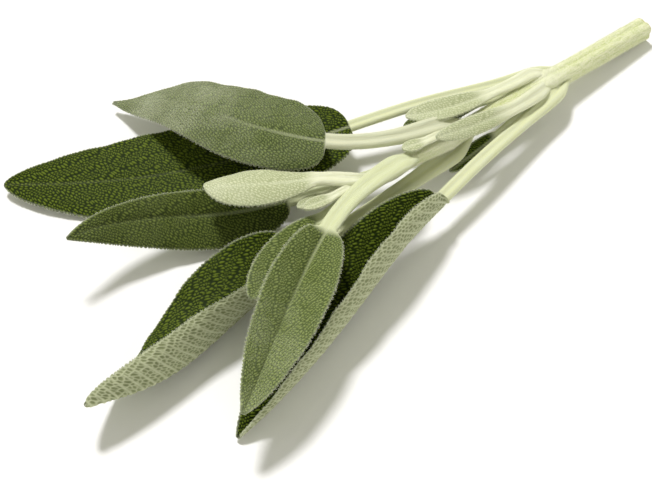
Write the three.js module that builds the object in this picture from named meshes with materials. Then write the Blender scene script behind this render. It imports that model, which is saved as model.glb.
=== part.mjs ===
// A cut sprig of garden sage lying on its side: one square stem with four pairs of opposite leaves,
// the young leaves in the axils of its first two nodes, and the bud at its tip.
// Millimetres. +X runs along the stem towards its cut end, +Z is up, and the part stands on Z = 0.
import * as THREE from "three";

// ---------- Driving dimensions ----------

const STEM_RADIUS = 2.1; // half the width across the flats at the cut end
const STEM_TIP_RADIUS = 0.8; // the same under the bud
const STEM_TAPER = 0.3; // below 1, the stem keeps its width until close to the tip
const STEM_SQUARENESS = 3.2; // exponent of the section: 2 is round, 4 is nearly square
const NODE_SWELL = 0.35; // extra radius at each leaf node
const NODE_SPREAD = 3.5; // how far that swelling runs along the stem, each way
const STEM_SIDES = 16;
const STEM_RINGS = 30;
const BLADE_THICKNESS = 0.7; // thinned to nothing at the margin
const EDGE_ROUNDING = 6; // how late that thinning starts, as a power
const MIDRIB_TAPER = 0.25; // the midrib's radius at the leaf's tip, as a share of the stalk's
const BLADE_FLAT_BETWEEN = [1.05, 2.2]; // half width over stalk radius: round below the first, flat above
const STALK_RING_STEP = 6;
const TIP_CROWDING = 0.7; // 0 spaces a blade's rings evenly, 1 crowds them at both its ends

// The stem lies on its cut end, and its leaves prop up the other end.
const STEM_LENGTH = 79;
const STEM_RISE = 8; // how much higher the stem's centre is under the bud than at the cut end
const STEM_TIP_BEND = 1; // how far the soft tip has bent towards +Y
const BEND_LATENESS = 6; // the power that keeps the bend at the tip
const NODES = [29, 56, 70, 78]; // from the cut end to where each pair of leaves joins
const JOIN_GAP = 0.3; // between the stem and the foot of a stalk
const PATH_STEPS = 24;

const MATERIALS = {
  stem: { color: 0xc9cf92, roughness: 0.85 },
  oldLeaf: { color: 0x44531c, roughness: 0.75 },
  midLeaf: { color: 0x6c7a4a, roughness: 0.85 },
  youngLeaf: { color: 0xa9b585, roughness: 0.9 },
};

// How finely a leaf is divided: segments across each half, and rings along the blade.
const BIG = { segments: 6, rings: 24 };
const MIDDLING = { segments: 5, rings: 22 };
const SMALL = { segments: 4, rings: 14 };
const TINY = { segments: 3, rings: 9 };

// Each leaf is a stalk that widens into a blade folded along its midrib. Angles are in degrees.
//   node, beyond  the node it grows at, counted from 0, and how far past it towards the tip its foot is
//   around        where its foot is round the stem: 0 on +Y, 90 on top, 180 on -Y
//   stalk, blade  their lengths
//   headings      the way the midrib runs seen from above, at even stages from foot to tip: 0 along the stem
//                 to its tip, and more towards +Y
//   heights       the midrib's height over the surface at even stages after the foot
//   halfWidth     from the midrib to the margin at the widest place, over the blade, on -Y and on +Y
//   shape         how blunt the blade is at its foot and at its tip: 0.5 is round, 1 is pointed
//   face          which way the upper side looks, at the blade's foot and at its tip, where it isn't up
//   near, far     the half on the -Y side and the half on the +Y side, each [fold, curl] at the blade's foot
//                 and at its tip: the fold is how steeply that half leaves the midrib, and the curl is how
//                 much more it has turned by the time it reaches the margin
const LEAVES = [
  {
    name: "leaf_1_rear",
    material: "oldLeaf",
    detail: BIG,
    node: 0,
    beyond: 0,
    around: 0,
    stalk: 40,
    blade: 68,
    headings: [15, 20, 30, 40],
    heights: [7.5, 5, 2.5, 2],
    stalkRadius: 0.95,
    halfWidth: [11, 11],
    shape: [0.36, 0.62],
    face: [[0, 0, 1], [-0.1, -0.1, 1]],
    near: [[6, -10], [3, -8]],
    far: [[7, -10], [4, -8]],
  },
  {
    name: "leaf_1_front",
    material: "oldLeaf",
    detail: BIG,
    node: 0,
    beyond: 1,
    around: 180,
    stalk: 36,
    blade: 62,
    headings: [-10, -10, -15, -10],
    heights: [7, 6, 3, 1],
    stalkRadius: 0.95,
    halfWidth: [9.4, 9.4],
    shape: [0.5, 0.7],
    near: [[32, 125], [28, 85]],
    far: [[30, 0], [34, 0]],
  },
  {
    name: "leaf_2_rear",
    material: "midLeaf",
    detail: MIDDLING,
    node: 1,
    beyond: 0,
    around: 25,
    stalk: 22,
    blade: 47,
    headings: [15, 40, 70, 70],
    heights: [10.5, 13.2, 12, 2],
    stalkRadius: 1,
    halfWidth: [7.6, 10],
    shape: [0.32, 0.9],
    face: [[0, -0.25, 1], [-0.3, 0.2, 1]],
    near: [[-8, -6], [-12, -6]],
    far: [[-8, -10], [-14, -10]],
  },
  {
    name: "leaf_2_front",
    material: "oldLeaf",
    detail: BIG,
    node: 1,
    beyond: 0,
    around: 240,
    stalk: 36,
    blade: 53,
    headings: [0, 0, -5, -10, 15],
    heights: [4, 3.5, 3.5, 8],
    stalkRadius: 1,
    halfWidth: [8.4, 11.6],
    shape: [0.36, 0.62],
    face: [[0, 0, 1], [0, 1.2, 1]],
    near: [[0, 125], [50, 60]],
    far: [[28, 0], [12, 0]],
  },
  {
    name: "leaf_3_rear",
    material: "midLeaf",
    detail: MIDDLING,
    node: 2,
    beyond: 0,
    around: -60,
    stalk: 19,
    blade: 43,
    headings: [20, 25, 30, 20, 0],
    heights: [6, 4.5, 7.5, 11.5],
    stalkRadius: 0.9,
    halfWidth: [6.6, 4.8],
    shape: [0.42, 0.75],
    face: [[0, -0.75, 1], [0, -0.75, 1]],
    near: [[8, -6], [6, -10]],
    far: [[14, -20], [10, -20]],
  },
  {
    name: "leaf_3_front",
    material: "midLeaf",
    detail: MIDDLING,
    node: 2,
    beyond: 0.5,
    around: 120,
    stalk: 20,
    blade: 41,
    headings: [0, -25, -30, -30],
    heights: [12.5, 13, 12, 10.5],
    stalkRadius: 0.9,
    halfWidth: [6.9, 6.3],
    shape: [0.5, 0.72],
    near: [[14, -6], [16, -6]],
    far: [[40, 4], [42, 4]],
  },
  {
    name: "leaf_4_rear",
    material: "youngLeaf",
    detail: SMALL,
    node: 3,
    beyond: 1.5,
    around: 50,
    stalk: 3.5,
    blade: 23,
    headings: [45, 30, 40, 55],
    heights: [12, 12, 10.5],
    stalkRadius: 0.8,
    halfWidth: [4.4, 4.4],
    shape: [1, 0.7],
    near: [[-8, -12], [-5, -12]],
    far: [[-8, -12], [-5, -12]],
  },
  {
    name: "leaf_4_front",
    material: "youngLeaf",
    detail: SMALL,
    node: 3,
    beyond: 4,
    around: 200,
    stalk: 4,
    blade: 25,
    headings: [-5, -10, -20, -20],
    heights: [10.5, 11, 11.5],
    stalkRadius: 0.8,
    halfWidth: [3.6, 4],
    shape: [0.8, 0.6],
    near: [[15, 0], [15, 0]],
    far: [[15, 0], [15, 0]],
  },
  {
    name: "axil_leaf_1_rear_upper",
    material: "youngLeaf",
    detail: TINY,
    node: 0,
    beyond: 3,
    around: 45,
    stalk: 8,
    blade: 20,
    headings: [0, 10, 30],
    heights: [9.5, 10],
    stalkRadius: 0.6,
    halfWidth: [2.6, 2.6],
    shape: [1, 0.6],
    near: [[10, -8], [10, -8]],
    far: [[10, 8], [10, 8]],
  },
  {
    name: "axil_leaf_1_rear_lower",
    material: "oldLeaf",
    detail: TINY,
    node: 0,
    beyond: 4,
    around: -25,
    stalk: 10,
    blade: 17,
    headings: [5, 10, 25],
    heights: [7, 7],
    stalkRadius: 0.5,
    halfWidth: [2.4, 2.4],
    shape: [1, 0.6],
    near: [[6, 0], [6, 0]],
    far: [[6, 0], [6, 0]],
  },
  {
    name: "axil_leaf_1_front_upper",
    material: "youngLeaf",
    detail: TINY,
    node: 0,
    beyond: 5,
    around: 140,
    stalk: 4,
    blade: 21,
    headings: [-5, 5, 15],
    heights: [9.5, 11],
    stalkRadius: 0.6,
    halfWidth: [1.9, 1.9],
    shape: [1, 0.6],
    face: [[0, -0.6, 1], [0, -0.6, 1]],
    near: [[5, -16], [5, -16]],
    far: [[5, -16], [5, -16]],
  },
  {
    name: "axil_leaf_1_front_lower",
    material: "oldLeaf",
    detail: TINY,
    node: 0,
    beyond: 7,
    around: 230,
    stalk: 8,
    blade: 14,
    headings: [-5, -5, -5],
    heights: [3, 3.5],
    stalkRadius: 0.5,
    halfWidth: [1.9, 1.9],
    shape: [0.5, 0.6],
    face: [[0, -0.4, 1], [0, -0.4, 1]],
    near: [[5, 0], [5, 0]],
    far: [[5, 0], [5, 0]],
  },
  {
    name: "axil_leaf_2_rear",
    material: "youngLeaf",
    detail: TINY,
    node: 1,
    beyond: 2.5,
    around: 85,
    stalk: 1.5,
    blade: 6,
    headings: [5, 10],
    heights: [11, 11.5],
    stalkRadius: 0.4,
    halfWidth: [1.4, 1.4],
    shape: [1, 0.6],
    near: [[5, -10], [5, -10]],
    far: [[5, -10], [5, -10]],
  },
  {
    name: "bud_leaf_rear",
    material: "youngLeaf",
    detail: TINY,
    node: 3,
    beyond: 3.5,
    around: -25,
    stalk: 1.2,
    blade: 7,
    headings: [5, 15],
    heights: [10, 10],
    stalkRadius: 0.4,
    halfWidth: [1.4, 1.4],
    shape: [1, 0.6],
    near: [[5, 20], [5, 20]],
    far: [[5, 20], [5, 20]],
  },
  {
    name: "bud_leaf_front",
    material: "youngLeaf",
    detail: TINY,
    node: 3,
    beyond: 3.5,
    around: 115,
    stalk: 1.2,
    blade: 7.5,
    headings: [5, 10],
    heights: [12, 12.5],
    stalkRadius: 0.4,
    halfWidth: [1.4, 1.4],
    shape: [1, 0.6],
    near: [[10, 10], [10, 10]],
    far: [[10, 10], [10, 10]],
  },
];

// ---------- Shared shapes ----------

const UPWARDS = [0, 0, 1];
const vector = (p) => new THREE.Vector3(...p);
const mix = THREE.MathUtils.lerp;
const smooth = THREE.MathUtils.smoothstep;
const radians = THREE.MathUtils.degToRad;

// A closed surface through rings of points, each ring with the same number of them.
function loft(rings) {
  const sides = rings[0].length;
  const positions = [];
  const index = [];
  const centreOf = (ring) => ring.reduce((sum, p) => sum.add(p), new THREE.Vector3()).divideScalar(sides);
  for (const ring of rings) ring.forEach((p) => positions.push(p.x, p.y, p.z));
  for (let r = 0; r < rings.length - 1; r++) {
    for (let i = 0; i < sides; i++) {
      const here = r * sides + i;
      const beside = r * sides + ((i + 1) % sides);
      index.push(here, beside, beside + sides, here, beside + sides, here + sides);
    }
  }
  const first = centreOf(rings[0]);
  const last = centreOf(rings.at(-1));
  const firstIndex = positions.length / 3;
  positions.push(first.x, first.y, first.z, last.x, last.y, last.z);
  const lastRing = (rings.length - 1) * sides;
  for (let i = 0; i < sides; i++) {
    const next = (i + 1) % sides;
    index.push(firstIndex, next, i, firstIndex + 1, lastRing + i, lastRing + next);
  }
  const geometry = new THREE.BufferGeometry();
  geometry.setAttribute("position", new THREE.Float32BufferAttribute(positions, 3));
  geometry.setIndex(index);
  return geometry;
}

// The stem's radius at that distance from the cut end: it tapers to the tip and swells at each node.
function stemRadius(distance) {
  const toTip = 1 - smooth(distance, 0, STEM_LENGTH);
  const swell = NODES.reduce((sum, node) => sum + Math.exp(-(((distance - node) / NODE_SPREAD) ** 2)), 0);
  return mix(STEM_TIP_RADIUS, STEM_RADIUS, toTip ** STEM_TAPER) + NODE_SWELL * swell;
}

// How far the stem's surface is from its centre, at that distance along it and that angle round it.
function stemReach(distance, angle) {
  const across = Math.abs(Math.cos(angle)) ** STEM_SQUARENESS;
  const upright = Math.abs(Math.sin(angle)) ** STEM_SQUARENESS;
  return stemRadius(distance) / (across + upright) ** (1 / STEM_SQUARENESS);
}

// The stem's centre at that distance from the cut end. The cut end is over X = 0 and the tip is towards -X.
function stemCentre(distance) {
  const share = distance / STEM_LENGTH;
  const sideways = STEM_TIP_BEND * share ** BEND_LATENESS;
  return new THREE.Vector3(-distance, sideways, STEM_RADIUS + STEM_RISE * share);
}

function stemGeometry() {
  const rings = [];
  for (let r = 0; r <= STEM_RINGS; r++) {
    const distance = (STEM_LENGTH * r) / STEM_RINGS;
    const centre = stemCentre(distance);
    const ahead = stemCentre(distance + 1).sub(centre).normalize();
    const side = new THREE.Vector3().crossVectors(ahead, new THREE.Vector3(0, 0, 1)).normalize();
    const up = new THREE.Vector3().crossVectors(side, ahead);
    const ring = [];
    for (let i = 0; i < STEM_SIDES; i++) {
      const angle = (2 * Math.PI * i) / STEM_SIDES;
      const [c, s] = [Math.cos(angle), Math.sin(angle)];
      const reach = stemReach(distance, angle);
      ring.push(centre.clone().addScaledVector(side, -reach * c).addScaledVector(up, reach * s));
    }
    rings.push(ring);
  }
  return loft(rings);
}

// A blade's half width as a share of its widest, where s runs from the blade's foot to its tip.
function outline(s, [foot, tip]) {
  const widest = foot / (foot + tip);
  return (s / widest) ** foot * ((1 - s) / (1 - widest)) ** tip;
}

// One half of a section through a leaf, where t runs from the midrib to the margin: how far out and how far
// up that point lies, and the blade's normal there. The half is an arc that starts at the fold's angle.
const STRAIGHT = 1e-6;
function halfSection(t, width, fold, curl) {
  const turn = Math.abs(curl) < STRAIGHT ? STRAIGHT : curl;
  const angle = fold + turn * t;
  return {
    out: (width * (Math.sin(angle) - Math.sin(fold))) / turn,
    up: (width * (Math.cos(fold) - Math.cos(angle))) / turn,
    normalOut: t === 0 ? 0 : -Math.sin(angle),
    normalUp: t === 0 ? 1 : Math.cos(angle),
  };
}

// The value at a share of the way along a list of evenly spaced values, on a smooth curve through them.
function valueAlong(values, share) {
  return new THREE.SplineCurve(values.map((value, i) => new THREE.Vector2(i, value))).getPoint(share).y;
}

// The midrib from the foot of the stalk to the leaf's tip: it starts beside the stem, and goes forward a step
// at a time along its heading, at its height.
function midribPoints(leaf) {
  const distance = NODES[leaf.node] + leaf.beyond;
  const around = radians(leaf.around);
  const reach = stemReach(distance, around) + JOIN_GAP + leaf.stalkRadius;
  const outwards = new THREE.Vector3(0, Math.cos(around), Math.sin(around));
  const place = stemCentre(distance).addScaledVector(outwards, reach);
  const heights = [place.z, ...leaf.heights];
  const step = (leaf.stalk + leaf.blade) / PATH_STEPS;
  const points = [place.clone()];
  for (let i = 1; i <= PATH_STEPS; i++) {
    const heading = radians(valueAlong(leaf.headings, (i - 0.5) / PATH_STEPS));
    place.x -= step * Math.cos(heading);
    place.y += step * Math.sin(heading);
    place.z = valueAlong(heights, i / PATH_STEPS);
    points.push(place.clone());
  }
  return points;
}

// A leaf: rings run round its upper side from the near margin to the far one, and back underneath. On the
// stalk a ring is round, and along the blade it spreads into the two thin halves with the midrib below them.
function leafGeometry(leaf) {
  const curve = new THREE.CatmullRomCurve3(midribPoints(leaf), false, "catmullrom", 0.5);
  const [footFace, tipFace] = leaf.face ?? [UPWARDS, UPWARDS];
  const length = curve.getLength();
  const stalkShare = leaf.stalk / length;
  const stalkRings = Math.ceil(leaf.stalk / STALK_RING_STEP);
  const stations = [];
  for (let i = 0; i < stalkRings; i++) stations.push((stalkShare * i) / stalkRings);
  for (let i = 0; i <= leaf.detail.rings; i++) {
    const even = i / leaf.detail.rings;
    const crowded = 0.5 - 0.5 * Math.cos(Math.PI * even);
    stations.push(stalkShare + (1 - stalkShare) * mix(even, crowded, TIP_CROWDING));
  }
  const rings = stations.map((u) => {
    const centre = curve.getPointAt(u);
    const ahead = curve.getTangentAt(u);
    const s = THREE.MathUtils.clamp((u - stalkShare) / (1 - stalkShare), 0, 1);
    const face = vector(footFace).lerp(vector(tipFace), smooth(s, 0, 1));
    const right = new THREE.Vector3().crossVectors(ahead, face).normalize();
    const up = new THREE.Vector3().crossVectors(right, ahead);
    const stalk = leaf.stalkRadius * mix(1, MIDRIB_TAPER, s);
    const spread = outline(s, leaf.shape);
    const point = (t, sideSign, level) => {
      const [foot, tip] = sideSign > 0 ? leaf.far : leaf.near;
      const halfWidth = leaf.halfWidth[sideSign > 0 ? 1 : 0];
      const width = Math.hypot(halfWidth * spread, stalk);
      const flat = smooth(width / stalk, ...BLADE_FLAT_BETWEEN);
      const fold = radians(mix(foot[0], tip[0], s)) * flat;
      const curl = radians(mix(foot[1], tip[1], s)) * flat;
      const at = halfSection(t, width, fold, curl);
      const round = Math.sqrt(1 - t * t);
      const blade = (BLADE_THICKNESS / 2) * Math.sqrt(1 - t ** EDGE_ROUNDING);
      const rib = level < 0 ? stalk * Math.exp(-(((t * width) / stalk) ** 2)) : 0;
      const thick = level * mix(stalk * round, blade + rib, flat);
      return centre
        .clone()
        .addScaledVector(right, sideSign * (at.out + at.normalOut * thick))
        .addScaledVector(up, at.up + at.normalUp * thick);
    };
    const ring = [];
    const n = leaf.detail.segments;
    for (let i = -n; i <= n; i++) ring.push(point(Math.abs(i) / n, Math.sign(i) || 1, 1));
    for (let i = n - 1; i >= 1 - n; i--) ring.push(point(Math.abs(i) / n, Math.sign(i) || 1, -1));
    return ring;
  });
  return loft(rings);
}

// ---------- The sprig ----------

const part = new THREE.Group();

function addPiece(name, geometry, materialName) {
  const material = new THREE.MeshStandardMaterial({ ...MATERIALS[materialName], metalness: 0 });
  const mesh = new THREE.Mesh(geometry, material);
  mesh.name = name;
  part.add(mesh);
}

addPiece("stem", stemGeometry(), "stem");
for (const leaf of LEAVES) addPiece(leaf.name, leafGeometry(leaf), leaf.material);

// The sprig stands on Z = 0 with the middle of its footprint at the origin.
const bounds = new THREE.Box3().setFromObject(part);
const middle = bounds.getCenter(new THREE.Vector3());
part.position.set(-middle.x, -middle.y, -bounds.min.z);

export default part;
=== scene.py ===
"""A cut sprig of garden sage lying on a pale table in soft daylight."""

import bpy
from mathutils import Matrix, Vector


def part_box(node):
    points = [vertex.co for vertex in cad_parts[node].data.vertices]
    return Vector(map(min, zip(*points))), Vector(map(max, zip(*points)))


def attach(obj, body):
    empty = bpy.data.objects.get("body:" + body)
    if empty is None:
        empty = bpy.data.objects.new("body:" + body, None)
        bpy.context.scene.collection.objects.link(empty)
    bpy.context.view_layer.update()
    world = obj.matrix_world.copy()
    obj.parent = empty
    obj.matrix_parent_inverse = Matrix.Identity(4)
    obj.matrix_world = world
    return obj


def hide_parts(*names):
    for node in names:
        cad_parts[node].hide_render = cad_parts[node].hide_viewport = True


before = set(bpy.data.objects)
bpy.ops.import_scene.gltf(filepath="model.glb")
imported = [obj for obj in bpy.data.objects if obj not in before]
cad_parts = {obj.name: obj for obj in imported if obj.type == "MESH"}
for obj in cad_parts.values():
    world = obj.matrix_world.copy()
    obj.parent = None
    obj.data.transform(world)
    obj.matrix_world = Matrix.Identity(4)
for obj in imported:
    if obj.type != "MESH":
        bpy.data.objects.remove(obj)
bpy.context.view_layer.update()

import math

import bpy
import numpy as np
from mathutils import Vector

# ---------------------------------------------------------------- the table
# A matt white table top that sweeps up into a wall all round, far outside the sprig, so that it has no edge.

MM = 0.001
TABLE_FLAT = 1.2  # metres from the sprig to where the sweep starts
SWEEP_RADIUS = 0.5
WALL_TOP = 1.1
TABLE_SIDES = 96
SWEEP_STEPS = 17


def mesh_object(name, vertices, faces, smooth=True):
    """An object at the origin from arrays of vertices, in metres, and of faces with equally many corners."""
    mesh = bpy.data.meshes.new(name)
    corners = faces.shape[1]
    mesh.vertices.add(len(vertices))
    mesh.vertices.foreach_set("co", vertices.astype(np.float32).ravel())
    mesh.loops.add(faces.size)
    mesh.loops.foreach_set("vertex_index", faces.astype(np.int32).ravel())
    mesh.polygons.add(len(faces))
    mesh.polygons.foreach_set("loop_start", np.arange(0, faces.size, corners, dtype=np.int32))
    mesh.polygons.foreach_set("use_smooth", np.full(len(faces), smooth))
    mesh.update(calc_edges=True)
    made = bpy.data.objects.new(name, mesh)
    bpy.context.scene.collection.objects.link(made)
    return made


def ring_faces(rows, columns):
    """Quads between rings of vertices: each ring joins the next one, and its last column joins its first."""
    row = np.arange(rows - 1)[:, None]
    column = np.arange(columns)[None, :]
    here, beside = row * columns + column, row * columns + (column + 1) % columns
    return np.stack([here, beside, beside + columns, here + columns], axis=-1).reshape(-1, 4)


def table_sweep():
    """The table's profile, flat, then a quarter circle, then a wall, turned round the vertical."""
    turn = np.linspace(0, math.pi / 2, SWEEP_STEPS)
    curve = TABLE_FLAT + SWEEP_RADIUS * np.sin(turn)
    reach = np.concatenate([[1e-4, 0.3], curve, curve[-1:]])
    height = np.concatenate([[0, 0], SWEEP_RADIUS * (1 - np.cos(turn)), [WALL_TOP]])
    angle = np.linspace(0, 2 * math.pi, TABLE_SIDES, endpoint=False)
    across = reach[:, None] * np.cos(angle)
    upright = np.broadcast_to(height[:, None], across.shape)
    return np.stack([across, reach[:, None] * np.sin(angle), upright], -1)


sweep_rings = table_sweep()
table = mesh_object("table", sweep_rings.reshape(-1, 3), ring_faces(len(sweep_rings), TABLE_SIDES))
white = bpy.data.materials.new("matt white table")
white.use_nodes = True
white_shader = white.node_tree.nodes["Principled BSDF"]
white_shader.inputs["Base Color"].default_value = (0.9, 0.9, 0.9, 1)
white_shader.inputs["Roughness"].default_value = 0.9
white_shader.inputs["Specular IOR Level"].default_value = 0.1
table.data.materials.append(white)


# ---------------------------------------------------------------- the light and the camera
# The sun comes over the rear leaves and the white room fills the shadows. The camera looks down on the sprig
# from in front, to the left of the stem.

SUN_STRENGTH = 2.9
SUN_ANGLE = math.radians(11)
SUN_COLOUR = (1, 0.98, 1)
SHADOW_PER_HEIGHT = Vector((-0.17, -0.59, -1.0))  # where a shadow falls for each unit of height
ROOM_LIGHT = (0.415, 0.41, 0.33, 1)
STEM_LENGTH = 79
STEM_RISE = 8  # how much higher the stem's centre is under the bud than at the cut end
STEM_RADIUS = 2.1
CAMERA_AIM_FROM_CUT = 86  # towards the leaves, along the stem
CAMERA_AZIMUTH = math.radians(-40)
CAMERA_ELEVATION = math.radians(52)
CAMERA_DISTANCE = 0.344
CAMERA_LENS = 100

# In the sprig's own layout, in millimetres, the cut end's centre is over the origin and the tip is towards
# -X. The stem leans by its rise, so the cut end's upper edge reaches a little past its centre.
stem_low, stem_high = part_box("stem")
overhang = STEM_RADIUS * math.sin(math.atan2(STEM_RISE, STEM_LENGTH))
layout = np.array([stem_high.x / MM - overhang, (stem_low.y + stem_high.y) / (2 * MM), 0.0])

sun_data = bpy.data.lights.new("sun", "SUN")
sun_data.energy = SUN_STRENGTH
sun_data.angle = SUN_ANGLE
sun_data.color = SUN_COLOUR
sun = bpy.data.objects.new("sun", sun_data)
sun.rotation_mode = "QUATERNION"
sun.rotation_quaternion = SHADOW_PER_HEIGHT.to_track_quat("-Z", "Y")
bpy.context.scene.collection.objects.link(sun)

room = bpy.data.worlds.new("white room")
room.use_nodes = True
room.node_tree.nodes["Background"].inputs["Color"].default_value = ROOM_LIGHT
bpy.context.scene.world = room

flat_share = math.cos(CAMERA_ELEVATION)
towards_camera = Vector(
    (
        math.sin(CAMERA_AZIMUTH) * flat_share,
        -math.cos(CAMERA_AZIMUTH) * flat_share,
        math.sin(CAMERA_ELEVATION),
    )
)
camera_data = bpy.data.cameras.new("camera")
camera_data.lens = CAMERA_LENS
camera_data.sensor_width = 36
camera_data.clip_start = 0.01
camera = bpy.data.objects.new("camera", camera_data)
camera.rotation_mode = "QUATERNION"
camera.location = Vector((layout - [CAMERA_AIM_FROM_CUT, 0, 0]) * MM) + towards_camera * CAMERA_DISTANCE
camera.rotation_quaternion = (-towards_camera).to_track_quat("-Z", "Y")
bpy.context.scene.collection.objects.link(camera)
bpy.context.scene.camera = camera
bpy.context.scene.view_settings.view_transform = "Standard"


# ---------------------------------------------------------------- the stem
# A square, downy green stem with a shallow groove along each face. It is thicker where a pair of leaves
# joins it, it thins towards the bud, and its lower end was cut straight across.

STEM_TIP_RADIUS = 0.8
STEM_TAPER = 0.3  # below 1, the stem keeps its width until close to the tip
SQUARENESS = 3.2  # exponent of the section: 2 is round, 4 is nearly square
TIP_BEND = 1
BEND_LATENESS = 6  # the higher, the closer to the tip the bend starts
NODES = (29, 56, 70, 78)  # from the cut end to where each pair of leaves joins
NODE_SWELL = 0.35
NODE_SPREAD = 3.5
GROOVE = 0.1  # its depth, as a share of the radius
GROOVE_WIDTH = 0.5
COLLAR = 0.16  # the ridge that runs round the stem between the two stalks of a pair
COLLAR_BACK = 1
COLLAR_WIDTH = 0.5
COARSE_RIB = 0.03
FINE_RIB = 0.02
WOOL_SPREAD = 4.5  # how far the thicker wool round a node reaches along the stem
STEM_SIDES = 80
STEM_STEP = 0.2


def unit(vectors):
    """Each vector of an array, made one long."""
    return vectors / np.maximum(np.linalg.norm(vectors, axis=-1, keepdims=True), 1e-12)


def smooth_step(x):
    """0 below 0 and 1 above 1, turning smoothly in between."""
    x = np.clip(x, 0, 1)
    return x * x * (3 - 2 * x)


def stem_centre(distance):
    """The stem's centre that far from the cut end: it rises evenly, and only its tip bends to the rear."""
    share = np.asarray(distance) / STEM_LENGTH
    bend = TIP_BEND * np.maximum(share, 0) ** BEND_LATENESS
    return np.stack([-np.asarray(distance, float), bend, STEM_RADIUS + STEM_RISE * share], axis=-1)


def stem_reach(distance, angle):
    """How far the stem's surface is from its centre: a rounded square whose radius tapers towards the tip,
    plus a swelling at each node."""
    to_tip = 1 - smooth_step(distance / STEM_LENGTH)
    radius = STEM_TIP_RADIUS + (STEM_RADIUS - STEM_TIP_RADIUS) * to_tip**STEM_TAPER
    radius = radius + sum(NODE_SWELL * np.exp(-(((distance - node) / NODE_SPREAD) ** 2)) for node in NODES)
    power = np.abs(np.cos(angle)) ** SQUARENESS + np.abs(np.sin(angle)) ** SQUARENESS
    return radius / power ** (1 / SQUARENESS)


def stem_surface():
    """The stem's rings: its section less a groove down each face, plus a collar at each of the two lowest
    nodes and two sets of fine ribs that wind slowly round it."""
    distance = np.linspace(0, STEM_LENGTH, int(STEM_LENGTH / STEM_STEP))[:, None]
    angle = np.linspace(0, 2 * math.pi, STEM_SIDES, endpoint=False)[None, :]
    centre = stem_centre(distance)
    ahead = unit(np.gradient(centre[:, 0], axis=0))[:, None]
    side = unit(np.cross(ahead, [0, 0, 1]))
    up = np.cross(side, ahead)
    face_middle = np.exp(-((np.sin(2 * angle) / GROOVE_WIDTH) ** 2))
    reach = stem_reach(distance, angle) * (1 - GROOVE * face_middle)
    from_collars = [distance - node + COLLAR_BACK for node in NODES[:2]]
    reach = reach + sum(COLLAR * np.exp(-((away / COLLAR_WIDTH) ** 2)) for away in from_collars)
    reach = reach + COARSE_RIB * np.sin(11 * angle + 0.25 * distance)
    reach = reach + FINE_RIB * np.sin(23 * angle - 0.4 * distance)
    outward = side * np.cos(angle)[..., None] + up * np.sin(angle)[..., None]
    points = centre + outward * reach[..., None]
    place = np.stack(np.broadcast_arrays(distance, angle, reach), axis=-1)
    near_node = sum(np.exp(-(((distance - node) / WOOL_SPREAD) ** 2)) for node in NODES)
    kind = np.stack(np.broadcast_arrays(np.minimum(near_node, 1), face_middle, distance), axis=-1)
    return points, outward, place, kind


def closed_piece(name, points, place, kind, relief, material):
    """A closed piece through rings of points, with a fan over each end. Place, kind and relief are stored
    with each point for the material to read."""
    rows, columns = points.shape[:2]
    side = np.arange(columns)
    after = (side + 1) % columns
    foot, tip, last = rows * columns, rows * columns + 1, (rows - 1) * columns
    fans = np.concatenate(
        [
            np.stack([np.full(columns, foot), after, side], axis=-1),
            np.stack([np.full(columns, tip), last + side, last + after], axis=-1),
        ]
    )

    def with_ends(grid):
        """The grid's rows one after another, then the mean of its first ring and of its last one."""
        flat = grid.reshape(rows * columns, -1)
        return np.concatenate([flat, grid[:1].mean(axis=1), grid[-1:].mean(axis=1)])

    mesh = bpy.data.meshes.new(name)
    vertices = (with_ends(points) + layout) * MM
    mesh.from_pydata(vertices, [], ring_faces(rows, columns).tolist() + fans.tolist())
    mesh.polygons.foreach_set("use_smooth", np.ones(len(mesh.polygons), bool))
    for label, grid in (("place", place), ("kind", kind)):
        stored = mesh.attributes.new(label, "FLOAT_VECTOR", "POINT")
        stored.data.foreach_set("vector", with_ends(grid).astype(np.float32).ravel())
    stored = mesh.attributes.new("relief", "FLOAT", "POINT")
    stored.data.foreach_set("value", with_ends(relief[..., None]).astype(np.float32).ravel())
    mesh.materials.append(material)
    made = bpy.data.objects.new(name, mesh)
    bpy.context.scene.collection.objects.link(made)
    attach(made, "root")
    return made


def paint(red, green, blue):
    """A colour in steps from 0 to 255, as the linear colour that a shader takes."""
    share = np.array([red, green, blue]) / 255
    linear = np.where(share <= 0.04045, share / 12.92, ((share + 0.055) / 1.055) ** 2.4)
    return (*linear, 1.0)


def add_node(tree, kind, inputs=None, **settings):
    """A new shader node. Each input, by name or number, takes a value or another node's socket."""
    made = tree.nodes.new(kind)
    for key, value in settings.items():
        setattr(made, key, value)
    for key, value in (inputs or {}).items():
        if isinstance(value, bpy.types.NodeSocket):
            tree.links.new(value, made.inputs[key])
        else:
            made.inputs[key].default_value = value
    return made


def calculate(tree, operation, first, second=0.0):
    """The result of one sum on two values or sockets."""
    return add_node(tree, "ShaderNodeMath", {0: first, 1: second}, operation=operation).outputs[0]


def ramp(tree, value, low, high, start=0.0, end=1.0):
    """A value turned smoothly from start, at low and below, to end, at high and above."""
    keys = {"Value": value, "From Min": low, "From Max": high, "To Min": start, "To Max": end}
    return add_node(tree, "ShaderNodeMapRange", keys, interpolation_type="SMOOTHSTEP").outputs["Result"]


def blend(tree, share, first, second):
    """The first colour turned into the second one by that share."""
    return add_node(tree, "ShaderNodeMix", {0: share, 6: first, 7: second}, data_type="RGBA").outputs[2]


def noise(tree, place, scale, detail=3.0):
    """Smooth noise between 0 and 1."""
    keys = {"Vector": place, "Scale": scale, "Detail": detail}
    return add_node(tree, "ShaderNodeTexNoise", keys).outputs[0]


def stretched(tree, place, stretch):
    """A place with each of its coordinates multiplied."""
    return add_node(tree, "ShaderNodeVectorMath", {0: place, 1: stretch}, operation="MULTIPLY").outputs[0]


def attribute(tree, name, output="Vector"):
    """What the mesh stores under that name."""
    return add_node(tree, "ShaderNodeAttribute", attribute_name=name).outputs[output]


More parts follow.
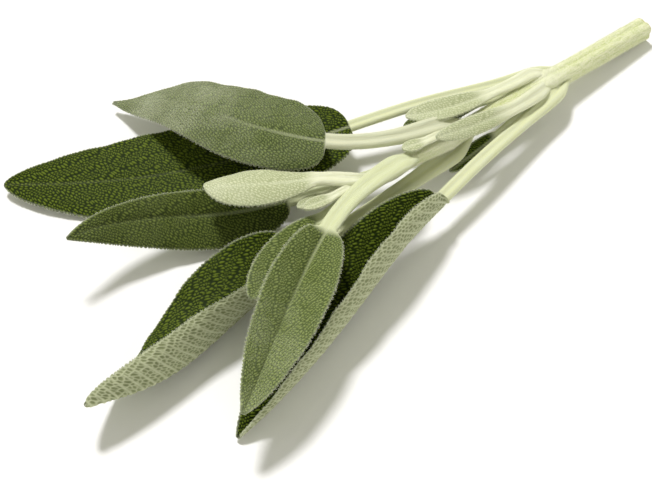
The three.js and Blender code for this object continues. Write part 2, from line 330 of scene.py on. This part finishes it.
stem_skin = bpy.data.materials.new("downy sage stem")
stem_skin.use_nodes = True
tree = stem_skin.node_tree
kind = add_node(tree, "ShaderNodeSeparateXYZ", {0: attribute(tree, "kind")}).outputs
where = add_node(tree, "ShaderNodeTexCoord").outputs["Object"]
fibres = noise(tree, stretched(tree, attribute(tree, "place"), (0.25, 5.0, 0.0)), 1.6, 4.0)
felt = noise(tree, where, 3600.0)
green = blend(tree, ramp(tree, fibres, 0.36, 0.64), paint(180, 192, 108), paint(222, 225, 176))
green = blend(tree, calculate(tree, "MULTIPLY", kind["Y"], 0.6), green, paint(180, 194, 88))
green = blend(tree, calculate(tree, "MULTIPLY", kind["X"], 0.7), green, paint(224, 227, 196))
colour = blend(tree, ramp(tree, felt, 0.4, 0.68, 0.2, 0.8), green, paint(232, 233, 210))
cut = ramp(tree, kind["Z"], 0.1, 0.35, 1.0, 0.0)
colour = blend(tree, calculate(tree, "MULTIPLY", cut, 0.6), colour, paint(196, 190, 130))
height = calculate(tree, "ADD", calculate(tree, "MULTIPLY", fibres, 0.6), felt)
bump = add_node(tree, "ShaderNodeBump", {"Height": height, "Distance": 0.12 * MM})
shader = tree.nodes["Principled BSDF"]
tree.links.new(colour, shader.inputs["Base Color"])
tree.links.new(bump.outputs["Normal"], shader.inputs["Normal"])
shader.inputs["Roughness"].default_value = 0.75
shader.inputs["Specular IOR Level"].default_value = 0.25
shader.inputs["Sheen Weight"].default_value = 0.25
shader.inputs["Sheen Roughness"].default_value = 0.4

stem_points, stem_outward, stem_place, stem_kind = stem_surface()
stem = closed_piece("stem.sage", stem_points, stem_place, stem_kind, stem_place[..., 2], stem_skin)
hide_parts("stem")


# ---------------------------------------------------------------- the first pair of leaves
# The oldest and largest pair, dark green and pebbled above and netted with raised veins below. Each leaf is a
# channelled stalk that widens into a blade folded along its midrib, and the front one has curled over.

PATH_STEPS = 24
ROOT_BACK = 9  # how far before its foot a stalk starts inside the stem
ROOT_REACH = 3.5
ROOT_OUT = 0.2  # and how far out from the stem's centre, as a share of the way to the foot
ROOT_WIDTH = 0.4  # a stalk's width inside the stem, as a share of its width further out
FOOT_SWELL = 0.3  # how much wider a stalk is where it leaves the stem
FOOT_SPREAD = 7
JOIN_GAP = 0.3
JOIN_STEPS = 40
FINE_STEPS = 20
BLADE_THICKNESS = 0.5
MIDRIB_TAPER = 0.25
ROW_STEP = 0.19
COLUMN_STEP = 0.2
STALK_STEP = 0.5
FEWEST_ROWS = 40
FEWEST_COLUMNS = 12
MOST_COLUMNS = 50
END_CROWDING = 0.3  # 0 spaces the rows evenly, 1 crowds them at the blade's foot and tip
EDGE_CROWDING = 0.35  # 0 spaces the columns evenly, 1 crowds them at the margin
SCALLOP_LENGTH = 0.66
SCALLOP_DEPTH = 0.34
MARGIN_ROLL = math.radians(20)
ROLL_START = 0.93  # from 0 at the midrib to 1 at the margin
ROLL_SPAN = 0.07
RIPPLE_LENGTH = 13.0
SHORT_RIPPLE = 0.43  # the second ripple's length, as a share of the first one's
RIPPLE = math.radians(4)
VEIN_SPACING = 2.5
VEIN_SLANT = 1.0  # how far a side vein runs towards the tip for each millimetre outwards
VEIN_WIDTH = 0.3
NET_HEIGHT = 0.2
NET_LENGTH = 0.95
NET_BREADTH = 0.7
NET_LOOSENESS = 0.6
NET_VEIN = 0.6  # how far from a vein of the net its pit reaches full depth
NET_SHARE = 0.75  # the net's height, as a share of a side vein's
PEBBLE_LENGTH = 0.95  # a pebble's length along the leaf, as a share of its breadth
PEBBLE_LOOSENESS = 0.55
PEBBLE_SEAM = 0.65
JITTER_TILE = 64


def values_along(values, share):
    """The value at each share of the way along evenly spaced values, on a Catmull-Rom curve through them."""
    padded = np.concatenate([values[:1], values, values[-1:]]).astype(float)
    at = np.clip(share, 0, 1) * (len(values) - 1)
    first = np.minimum(at.astype(int), len(values) - 2)
    t = at - first
    a, b, c, d = (padded[first + i] for i in range(4))
    return 0.5 * (2 * b + (c - a) * t + (2 * a - 5 * b + 4 * c - d) * t**2 + (3 * b - a - 3 * c + d) * t**3)


def midrib_path(node, beyond, around, length, headings, heights, stalk_radius):
    """The midrib as places, the distance along it, and how far along the foot is. It leaves the inside of the
    stem on a Bezier curve to the foot. From there it goes on in even steps, each along the heading and at the
    height there, with a Catmull-Rom curve through them."""
    distance = NODES[node] + beyond
    angle = math.radians(around)
    reach = stem_reach(distance, angle) + JOIN_GAP + stalk_radius
    outwards = np.array([0, math.cos(angle), math.sin(angle)])
    foot = stem_centre(distance) + outwards * reach
    root = stem_centre(distance - ROOT_BACK) + outwards * reach * ROOT_OUT
    steps = np.arange(PATH_STEPS)
    heading = np.radians(values_along(np.array(headings), (steps + 0.5) / PATH_STEPS))
    forward = np.cumsum(np.stack([-np.cos(heading), np.sin(heading)], axis=-1), axis=0) * length / PATH_STEPS
    height = values_along(np.array([foot[2], *heights]), (steps + 1) / PATH_STEPS)
    p = np.vstack([foot, np.column_stack([foot[:2] + forward, height])])
    before = foot - ROOT_REACH * unit(p[1] - foot)
    after = root + [-ROOT_REACH, 0, 0]
    u = np.linspace(0, 1, JOIN_STEPS, endpoint=False)[:, None]
    join = (1 - u) ** 3 * root + 3 * u * (1 - u) ** 2 * after + 3 * u**2 * (1 - u) * before + u**3 * foot
    p = np.vstack([2 * p[0] - p[1], p, 2 * p[-1] - p[-2]])
    a, b, c, d = (p[i : len(p) - 3 + i, None] for i in range(4))
    t = np.linspace(0, 1, FINE_STEPS, endpoint=False)[None, :, None]
    fine = 0.5 * (2 * b + (c - a) * t + (2 * a - 5 * b + 4 * c - d) * t**2 + (3 * b - a - 3 * c + d) * t**3)
    fine = np.vstack([join, fine.reshape(-1, 3), p[-2]])
    run = np.concatenate([[0], np.cumsum(np.linalg.norm(np.diff(fine, axis=0), axis=1))])
    return fine, run, run[len(join)]


def cells(x, y, seed, looseness):
    """The distances to the nearest and to the second nearest point. There is one point in each square of a
    grid whose odd columns are shifted by half a square. Looseness is how far the points stray from the
    squares' middles."""
    jitter = 0.5 + looseness * (np.random.default_rng(seed).random((JITTER_TILE, JITTER_TILE, 2)) - 0.5)
    column = np.floor(x).astype(int)
    nearest = np.full(x.shape, 9.0)
    second = np.full(x.shape, 9.0)
    for over in (-1, 0, 1):
        shift = 0.5 * ((column + over) % 2)
        row = np.floor(y - shift).astype(int)
        for beside in (-1, 0, 1):
            point = jitter[(column + over) % JITTER_TILE, (row + beside) % JITTER_TILE]
            gap = np.hypot(x - column - over - point[..., 0], y - shift - row - beside - point[..., 1])
            second = np.minimum(second, np.maximum(nearest, gap))
            nearest = np.minimum(nearest, gap)
    return nearest, second


def leaf_rings(path, stalk, half_widths, shape, face, near, far, stalk_half, broadness, pebble, dome, seed):
    """One leaf as rings round its midrib, each from the near margin over the upper side to the far margin and
    back underneath. A half section is a line of fixed length that leaves the midrib at the fold's angle and
    turns by the curl on its way out, with ripples and a margin that rolls under. Pebbles, round cells with
    seams between them, stand on the upper side, and a net of veins along cells' edges on the lower one."""
    fine, run, root = path
    foot = stalk + root
    blade = run[-1] - foot
    even = np.linspace(0, 1, max(FEWEST_ROWS, int(blade / ROW_STEP)))
    share = (1 - END_CROWDING) * even + END_CROWDING * (0.5 - 0.5 * np.cos(math.pi * even))
    stations = np.concatenate([np.arange(0, foot, STALK_STEP), foot + blade * share])
    centre = np.stack([np.interp(stations, run, fine[:, i]) for i in range(3)], axis=-1)
    ahead = unit(np.gradient(centre, stations, axis=0))
    s = np.clip((stations - foot) / blade, 0, 1)
    turned = smooth_step(s)[:, None]
    right = unit(np.cross(ahead, (1 - turned) * np.array(face[0], float) + turned * np.array(face[1], float)))
    up = np.cross(right, ahead)
    widest = shape[0] / (shape[0] + shape[1])
    spread = (s / widest) ** shape[0] * ((1 - s) / (1 - widest)) ** shape[1]
    base = ROOT_WIDTH + (1 - ROOT_WIDTH) * smooth_step(stations / ROOT_BACK)
    base = base * (1 + FOOT_SWELL * np.exp(-(((stations - ROOT_BACK) / FOOT_SPREAD) ** 2)))
    thick = (stalk_half * base * (1 - (1 - MIDRIB_TAPER) * s))[:, None]
    columns = int(np.clip(max(half_widths) / COLUMN_STEP, FEWEST_COLUMNS, MOST_COLUMNS))
    t = np.linspace(0, 1, columns + 1)
    t = ((1 - EDGE_CROWDING) * t + EDGE_CROWDING * np.sin(t * math.pi / 2))[None, :]
    along = np.broadcast_to((stations - foot)[:, None], (len(stations), t.size))
    random = np.random.default_rng(seed)
    upper, lower = [], []
    for sign, half_width, (at_foot, at_tip) in ((-1, half_widths[0], near), (1, half_widths[1], far)):
        narrowest = thick * broadness
        width = np.hypot(half_width * spread[:, None], narrowest)
        flat = smooth_step((width / narrowest - 1.05) / 1.15)
        broad = smooth_step(width / 4)
        fold, curl = (np.radians(at_foot[i] + (at_tip[i] - at_foot[i]) * s)[:, None] for i in range(2))
        wave = np.sin(2 * math.pi * along / RIPPLE_LENGTH + random.uniform(0, 6.3)) * t**2
        short_turn = 2 * math.pi * along / (SHORT_RIPPLE * RIPPLE_LENGTH)
        wave = wave + 0.5 * np.sin(short_turn + random.uniform(0, 6.3)) * t**3
        roll = MARGIN_ROLL * smooth_step((t - ROLL_START) / ROLL_SPAN)
        slope = (fold + curl * t + RIPPLE * wave * broad - roll) * flat
        middle = (slope[:, 1:] + slope[:, :-1]) / 2
        step = np.diff(t, axis=1) * width
        out = np.pad(np.cumsum(np.cos(middle) * step, axis=1), ((0, 0), (1, 0)))
        rise = np.pad(np.cumsum(np.sin(middle) * step, axis=1), ((0, 0), (1, 0)))
        lobe = np.abs(np.sin(math.pi * (along + 0.2 * np.sin(along * 1.7 + seed)) / SCALLOP_LENGTH)) - 0.6
        reach = SCALLOP_DEPTH * lobe * t**12 * flat * broad
        out, rise = out + reach * np.cos(slope), rise + reach * np.sin(slope)
        across = t * width
        vein_foot = along - VEIN_SLANT * across
        to_vein = np.abs((vein_foot / VEIN_SPACING + 0.5) % 1 - 0.5) * VEIN_SPACING
        side_vein = np.exp(-((to_vein / VEIN_WIDTH) ** 2)) * (1 - t**4)
        sway = 0.35 * np.sin(along * 0.8 + 2 * across) + 0.25 * np.sin(1.3 * across - 0.5 * along)
        u, v = (along + sway) / (PEBBLE_LENGTH * pebble), (sign * across + 0.5 * sway) / pebble
        nearest, second = cells(u, v, seed + 40, PEBBLE_LOOSENESS)
        seam = smooth_step((second - nearest) / PEBBLE_SEAM)
        stone = np.clip(1.3 - 1.5 * nearest, 0, 1) * seam * flat
        u, v = (vein_foot + 0.6 * sway) / NET_LENGTH, across / NET_BREADTH
        nearest, second = cells(u, v, seed + 80 + sign, NET_LOOSENESS)
        net = NET_SHARE - NET_SHARE * smooth_step((second - nearest) / NET_VEIN)
        net = np.maximum(net, side_vein) * flat
        round_part = np.sqrt(1 - t**2)
        body = BLADE_THICKNESS / 2 * np.sqrt(1 - t**6)
        rib = thick * np.exp(-((across / thick) ** 2))
        fade = smooth_step((1 - t) * 14)
        for level, store in ((1, upper), (-1, lower)):
            if level > 0:
                on_stalk = 0.85 * round_part - 0.4 * np.exp(-((t / 0.45) ** 2))
                on_blade = body - 0.25 * rib - 0.03 * side_vein + dome * (stone - 0.5) * (0.3 + 0.7 * fade)
            else:
                on_stalk = 0.85 * round_part
                on_blade = body + rib + NET_HEIGHT * (net - 0.3) * fade
            lift = level * (on_stalk * thick * (1 - flat) + on_blade * flat)
            outward = sign * (out - np.sin(slope) * lift * (t > 0))
            upward = rise + np.where(t > 0, np.cos(slope), 1) * lift
            points = centre[:, None] + right[:, None] * outward[..., None] + up[:, None] * upward[..., None]
            place = np.stack([along, sign * across, vein_foot], axis=-1)
            top = np.full(along.shape, level > 0)
            kind = np.stack(np.broadcast_arrays(top, (1 - flat) * (s < 0.5)[:, None], (1 - t) * width), -1)
            store.append((points, place, kind.astype(float), stone if level > 0 else net))
    rings = []
    for part in range(4):
        over, under = (
            np.concatenate([halves[0][part][:, :0:-1], halves[1][part]], axis=1) for halves in (upper, lower)
        )
        rings.append(np.concatenate([over, under[:, -2:0:-1]], axis=1))
    return rings


# Place holds the distance along the blade, across it, and along it to the foot of the side vein through that
# place, in millimetres. Kind holds 1 on the upper side and 0 below, then 1 on the stalk and 0 on the blade,
# then the distance in from the margin. Relief is 1 on top of a pebble or a vein and 0 in the hollows.
FELT_SCALE = 5.5
PATCH_SCALE = 0.14
MIDRIB_FADE = 24.0  # millimetres from the foot over which the pale midrib fades
RIM_DOWN = 0.28  # how pale the down makes the margin
tissue = bpy.data.node_groups.new("sage leaf tissue", "ShaderNodeTree")
for label, socket in (
    ("Place", "Vector"),
    ("Kind", "Vector"),
    ("Relief", "Float"),
    ("Shaded Hollow", "Color"),
    ("Lit Pebble", "Color"),
    ("Pit", "Color"),
    ("Vein", "Color"),
    ("Stalk", "Color"),
    ("Down", "Color"),
    ("Downiness", "Float"),
):
    tissue.interface.new_socket(label, in_out="INPUT", socket_type="NodeSocket" + socket)
tissue.interface.new_socket("Color", in_out="OUTPUT", socket_type="NodeSocketColor")
tissue.interface.new_socket("Height", in_out="OUTPUT", socket_type="NodeSocketFloat")
given = tissue.nodes.new("NodeGroupInput").outputs
kind = add_node(tissue, "ShaderNodeSeparateXYZ", {0: given["Kind"]}).outputs
place = add_node(tissue, "ShaderNodeSeparateXYZ", {0: given["Place"]}).outputs
felt = noise(tissue, given["Place"], FELT_SCALE, 4.0)
patches = noise(tissue, given["Place"], PATCH_SCALE)
# Painted shade and highlight: the dark hollow colour fills the seams between the pebbles, where shade falls,
# and the bright pebble colour paints light on their tops.
upper_side = blend(tissue, ramp(tissue, given["Relief"], 0.08, 0.95), given["Shaded Hollow"], given["Lit Pebble"])
midrib = ramp(tissue, calculate(tissue, "ABSOLUTE", place["Y"]), 0.1, 0.55)
midrib = calculate(tissue, "SUBTRACT", 1.0, midrib)
midrib = calculate(tissue, "MULTIPLY", midrib, ramp(tissue, place["X"], 0.0, MIDRIB_FADE, 0.5, 0.05))
upper_side = blend(tissue, midrib, upper_side, given["Vein"])
under_side = blend(tissue, ramp(tissue, given["Relief"], 0.0, 0.9), given["Pit"], given["Vein"])
colour = blend(tissue, kind["X"], under_side, upper_side)
downy = calculate(tissue, "MULTIPLY", ramp(tissue, felt, 0.38, 0.66), given["Downiness"])
downy = calculate(tissue, "MULTIPLY", downy, ramp(tissue, patches, 0.3, 0.7, 0.5, 1.4))
# Painted sheen: the down grows paler from the foot towards the tip, which is partly denser down and partly
# the sheen of light along the velvety blades.
downy = calculate(tissue, "MULTIPLY", downy, ramp(tissue, place["X"], 8.0, 30.0, 0.5, 1.9))
rim = ramp(tissue, kind["Z"], 0.05, 0.5, RIM_DOWN, 0.0)
colour = blend(tissue, calculate(tissue, "MAXIMUM", downy, rim), colour, given["Down"])
streaks = noise(tissue, stretched(tissue, given["Place"], (0.15, 2.4, 0.0)), 1.4)
stalk_colour = blend(tissue, ramp(tissue, streaks, 0.35, 0.65, 0.1, 0.75), given["Stalk"], given["Down"])
colour = blend(tissue, kind["Y"], colour, stalk_colour)
height = calculate(tissue, "ADD", felt, calculate(tissue, "MULTIPLY", streaks, kind["Y"]))
result = tissue.nodes.new("NodeGroupOutput")
tissue.links.new(colour, result.inputs["Color"])
tissue.links.new(height, result.inputs["Height"])


def leaf_skin(name, colours, downiness, felt_height, gloss, velvet):
    """Leaf skin: the tissue group in these colours, a felt of down, a faint gloss and a velvety sheen."""
    material = bpy.data.materials.new(name)
    material.use_nodes = True
    tree = material.node_tree
    skin = tree.nodes.new("ShaderNodeGroup")
    skin.node_tree = tissue
    for label, value in colours.items():
        skin.inputs[label].default_value = paint(*value)
    skin.inputs["Downiness"].default_value = downiness
    tree.links.new(attribute(tree, "place"), skin.inputs["Place"])
    tree.links.new(attribute(tree, "kind"), skin.inputs["Kind"])
    tree.links.new(attribute(tree, "relief", "Fac"), skin.inputs["Relief"])
    bump = add_node(tree, "ShaderNodeBump", {"Height": skin.outputs["Height"], "Distance": felt_height * MM})
    shader = tree.nodes["Principled BSDF"]
    tree.links.new(skin.outputs["Color"], shader.inputs["Base Color"])
    tree.links.new(bump.outputs["Normal"], shader.inputs["Normal"])
    shader.inputs["Roughness"].default_value = 0.6
    shader.inputs["Specular IOR Level"].default_value = gloss
    shader.inputs["Sheen Weight"].default_value = velvet
    shader.inputs["Sheen Roughness"].default_value = 0.4
    shader.inputs["Sheen Tint"].default_value = paint(235, 238, 215)
    return material


grown = []
UP = (0, 0, 1)


def grow_leaf(
    name, skin, slot, node, around, stalk, blade, headings, heights, stalk_half, half_widths, shape,
    near, far, beyond=0, stalk_radius=0.9, face=(UP, UP), broadness=1.0, pebble=0.66, dome=0.2,
):
    """Makes one leaf in place of its CAD node. Headings and heights are at even stages along the midrib, and
    near and far give each half's (fold, curl) in degrees at the blade's foot and at its tip."""
    path = midrib_path(node, beyond, around, stalk + blade, headings, heights, stalk_radius)
    seed = len(grown)
    blade_look = (broadness, pebble, dome, seed)
    rings = leaf_rings(path, stalk, half_widths, shape, face, near, far, stalk_half, *blade_look)
    leaf = closed_piece(name + ".sage", *rings, skin)
    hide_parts(name)
    grown.append((name, slot, rings))


old_skin = leaf_skin(
    "old sage leaf",
    {
        # The hollow colour is painted shade in the seams, and the pebble colour is a painted highlight on the
        # pebble tops.
        "Shaded Hollow": (30, 43, 3),
        "Lit Pebble": (96, 112, 30),
        "Pit": (130, 137, 100),
        "Vein": (184, 189, 156),
        "Stalk": (210, 214, 168),
        "Down": (206, 211, 184),
    },
    downiness=0.004, felt_height=0.04, gloss=0.08, velvet=0.0,
)
grow_leaf(
    "leaf_1_rear", old_skin, "old_leaf", node=0, around=0, stalk=40, blade=68,
    headings=(15, 20, 30, 40), heights=(7.5, 5, 2.5, 2), stalk_radius=0.95, stalk_half=0.95, broadness=1.4,
    half_widths=(11, 11), shape=(0.36, 0.62), face=(UP, (-0.1, -0.1, 1)),
    near=((6, -10), (3, -8)), far=((7, -10), (4, -8)),
)
grow_leaf(
    "leaf_1_front", old_skin, "old_leaf", node=0, beyond=1, around=180, stalk=36, blade=62,
    headings=(-10, -10, -15, -10), heights=(7, 6, 3, 1), stalk_radius=0.95, stalk_half=1.1, broadness=1.3,
    half_widths=(9.4, 9.4), shape=(0.5, 0.7), near=((32, 125), (28, 85)), far=((30, 0), (34, 0)),
)


# ---------------------------------------------------------------- the second pair of leaves
# The rear one is younger, grey-green and velvety with a broad pale stalk. The front one is as old as the
# first pair, and its near half has curled right over.

velvet_skin = leaf_skin(
    "velvety sage leaf",
    {
        # The hollow colour is painted shade in the seams, and the pebble colour is a painted highlight on the
        # pebble tops.
        "Shaded Hollow": (54, 68, 22),
        "Lit Pebble": (118, 133, 66),
        "Pit": (128, 136, 98),
        "Vein": (180, 186, 150),
        "Stalk": (218, 220, 188),
        "Down": (206, 210, 184),
    },
    downiness=0.25, felt_height=0.13, gloss=0.12, velvet=0.8,
)
grow_leaf(
    "leaf_2_rear", velvet_skin, "mid_leaf", node=1, around=25, stalk=22, blade=47,
    headings=(15, 40, 70, 70), heights=(10.5, 13.2, 12, 2), stalk_radius=1, stalk_half=1.2,
    broadness=1.35, half_widths=(7.6, 10), shape=(0.32, 0.9), face=((0, -0.25, 1), (-0.3, 0.2, 1)),
    near=((-8, -6), (-12, -6)), far=((-8, -10), (-14, -10)), pebble=0.56, dome=0.11,
)
grow_leaf(
    "leaf_2_front", old_skin, "old_leaf", node=1, around=240, stalk=36, blade=53,
    headings=(0, 0, -5, -10, 15), heights=(4, 3.5, 3.5, 8), stalk_radius=1, stalk_half=1.4, broadness=1.2,
    half_widths=(8.4, 11.6), shape=(0.36, 0.62), face=(UP, (0, 1.2, 1)),
    near=((0, 125), (50, 60)), far=((28, 0), (12, 0)),
)


# ---------------------------------------------------------------- the third pair of leaves
# Two leaves with softer pebbles and short down. The rear one is darker, and the front one lies on top of the
# sprig, folded like a keel.

green_skin = leaf_skin(
    "green sage leaf",
    {
        # The hollow colour is painted shade in the seams, and the pebble colour is a painted highlight on the
        # pebble tops.
        "Shaded Hollow": (46, 58, 14),
        "Lit Pebble": (106, 120, 50),
        "Pit": (120, 128, 88),
        "Vein": (170, 178, 138),
        "Stalk": (206, 210, 168),
        "Down": (190, 198, 160),
    },
    downiness=0.045, felt_height=0.1, gloss=0.1, velvet=0.12,
)
grow_leaf(
    "leaf_3_rear", green_skin, "mid_leaf", node=2, around=-60, stalk=19, blade=43,
    headings=(20, 25, 30, 20, 0), heights=(6, 4.5, 7.5, 11.5), stalk_half=1.1, broadness=1.2,
    half_widths=(6.6, 4.8), shape=(0.42, 0.75), face=((0, -0.75, 1), (0, -0.75, 1)),
    near=((8, -6), (6, -10)), far=((14, -20), (10, -20)), pebble=0.58, dome=0.11,
)
fresh_skin = leaf_skin(
    "fresh sage leaf",
    {
        # The hollow colour is painted shade in the seams, and the pebble colour is a painted highlight on the
        # pebble tops.
        "Shaded Hollow": (60, 76, 20),
        "Lit Pebble": (128, 142, 72),
        "Pit": (140, 150, 108),
        "Vein": (186, 194, 152),
        "Stalk": (208, 214, 166),
        "Down": (210, 216, 184),
    },
    downiness=0.14, felt_height=0.1, gloss=0.12, velvet=0.5,
)
grow_leaf(
    "leaf_3_front", fresh_skin, "mid_leaf", node=2, beyond=0.5, around=120, stalk=20, blade=41,
    headings=(0, -25, -30, -30), heights=(12.5, 13, 12, 10.5), stalk_half=1, broadness=1.8,
    half_widths=(6.9, 6.3), shape=(0.5, 0.72), near=((14, -6), (16, -6)), far=((40, 4), (42, 4)),
    pebble=0.56, dome=0.11,
)


# ---------------------------------------------------------------- the fourth pair and the bud
# Young leaves, almost white with down, round the two smallest leaves that still close the bud.

young_skin = leaf_skin(
    "young sage leaf",
    {
        # The hollow colour is painted shade in the seams, and the pebble colour is a painted highlight on the
        # pebble tops.
        "Shaded Hollow": (160, 168, 124),
        "Lit Pebble": (202, 207, 168),
        "Pit": (160, 170, 126),
        "Vein": (212, 216, 184),
        "Stalk": (220, 223, 186),
        "Down": (228, 231, 208),
    },
    downiness=0.34, felt_height=0.1, gloss=0.2, velvet=0.3,
)
grow_leaf(
    "leaf_4_rear", young_skin, "young_leaf", node=3, beyond=1.5, around=50, stalk=3.5, blade=23,
    headings=(45, 30, 40, 55), heights=(12, 12, 10.5), stalk_radius=0.8, stalk_half=0.9,
    broadness=1.4, half_widths=(4.4, 4.4), shape=(1, 0.7),
    near=((-8, -12), (-5, -12)), far=((-8, -12), (-5, -12)), pebble=0.55, dome=0.05,
)
grow_leaf(
    "leaf_4_front", fresh_skin, "young_leaf", node=3, beyond=4, around=200, stalk=4, blade=25,
    headings=(-5, -10, -20, -20), heights=(10.5, 11, 11.5), stalk_radius=0.8, stalk_half=0.9,
    broadness=1.4, half_widths=(3.6, 4), shape=(0.8, 0.6), near=((15, 0), (15, 0)), far=((15, 0), (15, 0)),
    pebble=0.58, dome=0.05,
)
SMALL_BLADE = {"shape": (1, 0.6), "broadness": 1.5, "pebble": 0.5, "dome": 0.03}
grow_leaf(
    "bud_leaf_rear", young_skin, "young_leaf", node=3, beyond=3.5, around=-25, stalk=1.2, blade=7,
    headings=(5, 15), heights=(10, 10), stalk_radius=0.4, stalk_half=0.5, half_widths=(1.4, 1.4),
    near=((5, 20), (5, 20)), far=((5, 20), (5, 20)), **SMALL_BLADE,
)
grow_leaf(
    "bud_leaf_front", young_skin, "young_leaf", node=3, beyond=3.5, around=115, stalk=1.2, blade=7.5,
    headings=(5, 10), heights=(12, 12.5), stalk_radius=0.4, stalk_half=0.5, half_widths=(1.4, 1.4),
    near=((10, 10), (10, 10)), far=((10, 10), (10, 10)), **SMALL_BLADE,
)


# ---------------------------------------------------------------- the leaves in the axils
# Small leaves of side shoots that have only started to grow, between the stem and the stalks. The upper ones
# are pale with down, and the lower ones are green.

grow_leaf(
    "axil_leaf_1_rear_upper", young_skin, "young_leaf", node=0, beyond=3, around=45, stalk=8, blade=20,
    headings=(0, 10, 30), heights=(9.5, 10), stalk_radius=0.6, stalk_half=0.8, half_widths=(2.6, 2.6),
    near=((10, -8), (10, -8)), far=((10, 8), (10, 8)), **SMALL_BLADE,
)
grow_leaf(
    "axil_leaf_1_rear_lower", green_skin, "old_leaf", node=0, beyond=4, around=-25, stalk=10, blade=17,
    headings=(5, 10, 25), heights=(7, 7), stalk_radius=0.5, stalk_half=0.6, half_widths=(2.4, 2.4),
    near=((6, 0), (6, 0)), far=((6, 0), (6, 0)), **SMALL_BLADE,
)
grow_leaf(
    "axil_leaf_1_front_upper", young_skin, "young_leaf", node=0, beyond=5, around=140, stalk=4, blade=21,
    headings=(-5, 5, 15), heights=(9.5, 11), stalk_radius=0.6, stalk_half=0.8, half_widths=(1.9, 1.9),
    face=((0, -0.6, 1), (0, -0.6, 1)), near=((5, -16), (5, -16)), far=((5, -16), (5, -16)), **SMALL_BLADE,
)
grow_leaf(
    "axil_leaf_1_front_lower", old_skin, "old_leaf", node=0, beyond=7, around=230, stalk=8, blade=14,
    headings=(-5, -5, -5), heights=(3, 3.5), stalk_radius=0.5, stalk_half=0.55, half_widths=(1.9, 1.9),
    face=((0, -0.4, 1), (0, -0.4, 1)), near=((5, 0), (5, 0)), far=((5, 0), (5, 0)),
    **{**SMALL_BLADE, "shape": (0.5, 0.6)},
)
grow_leaf(
    "axil_leaf_2_rear", young_skin, "young_leaf", node=1, beyond=2.5, around=85, stalk=1.5, blade=6,
    headings=(5, 10), heights=(11, 11.5), stalk_radius=0.4, stalk_half=0.5, half_widths=(1.4, 1.4),
    near=((5, -10), (5, -10)), far=((5, -10), (5, -10)), **SMALL_BLADE,
)


# ---------------------------------------------------------------- the down
# Short white hairs grow out of the stem, the stalks and the margins of the leaves. Each is a slim pointed
# spike on three feet.

HAIR_RADIUS = 0.015
STEM_HAIRS = 22000
STALK_HAIRS = 70  # for each millimetre of stalk
MARGIN_HAIRS = 13  # for each millimetre of margin
STEM_LEAN = 0.45  # how far hairs lean away from straight out
LEAF_LEAN = 0.4
STEM_HAIR_LENGTHS = (0.2, 0.6)
LEAF_HAIR_LENGTHS = (0.14, 0.42)

down_skin = bpy.data.materials.new("white down")
down_skin.use_nodes = True
tree = down_skin.node_tree
tone = noise(tree, add_node(tree, "ShaderNodeTexCoord").outputs["Object"], 900.0)
shader = tree.nodes["Principled BSDF"]
tree.links.new(blend(tree, tone, paint(214, 217, 190), paint(240, 241, 226)), shader.inputs["Base Color"])
shader.inputs["Roughness"].default_value = 0.6

random = np.random.default_rng(7)


def spread_over(points, outward, count):
    """That many random places over a grid of points, by area, and the outward direction at each."""
    corner = points[:-1, :-1]
    ahead, beside = points[1:, :-1] - corner, points[:-1, 1:] - corner
    area = np.linalg.norm(np.cross(ahead, beside), axis=-1).ravel()
    row, column = np.divmod(random.choice(area.size, size=count, p=area / area.sum()), corner.shape[1])
    u, v = random.random((2, count, 1))
    return corner[row, column] + ahead[row, column] * u + beside[row, column] * v, outward[row, column]


def hairs(name, roots, outward, lean_spread, lengths, slot):
    """Spikes on three feet, each leaning a random way from outward. All of them together are one piece."""
    count = len(roots)
    lean = unit(outward + random.normal(0, lean_spread, (count, 3)))
    length = random.uniform(*lengths, (count, 1))
    helper = np.where(np.abs(lean[:, 2:3]) < 0.9, [[0, 0, 1.0]], [[1.0, 0, 0]])
    one = unit(np.cross(lean, helper))
    two = np.cross(lean, one)
    turn = (np.arange(3) * 2 * math.pi / 3)[None, :, None]
    feet = roots[:, None] + HAIR_RADIUS * (one[:, None] * np.cos(turn) + two[:, None] * np.sin(turn))
    spikes = np.concatenate([feet, (roots + lean * length)[:, None]], axis=1)
    faces = np.array([[0, 1, 3], [1, 2, 3], [2, 0, 3], [2, 1, 0]])
    faces = (np.arange(count)[:, None, None] * 4 + faces).reshape(-1, 3)
    made = mesh_object(name, (spikes.reshape(-1, 3) + layout) * MM, faces, smooth=False)
    made.data.materials.append(down_skin)
    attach(made, "root")


stem_roots = spread_over(stem_points, stem_outward, STEM_HAIRS)
hairs("down_on_stem", *stem_roots, STEM_LEAN, STEM_HAIR_LENGTHS, "stem")
for name, slot, (points, _, kind, _) in grown:
    quarter = points.shape[1] // 4
    on_blade = np.flatnonzero(kind[:, quarter, 1] < 0.6)
    stalk = points[: on_blade[0]]
    out = unit(stalk - stalk.mean(axis=1, keepdims=True))
    roots, outward = spread_over(stalk, out, int(STALK_HAIRS * STALK_STEP * len(stalk)))
    blade = points[on_blade]
    for edge, inside in ((0, 2), (2 * quarter, 2 * quarter - 2)):
        margin = blade[:, edge]
        away = unit(margin - blade[:, inside])
        count = int(MARGIN_HAIRS * np.linalg.norm(np.diff(margin, axis=0), axis=1).sum())
        at = random.uniform(0, len(margin) - 1.001, count)
        low, part = at.astype(int), (at % 1)[:, None]
        roots = np.concatenate([roots, margin[low] * (1 - part) + margin[low + 1] * part])
        outward = np.concatenate([outward, away[low]])
    hairs("down_on_" + name, roots, outward, LEAF_LEAN, LEAF_HAIR_LENGTHS, slot)
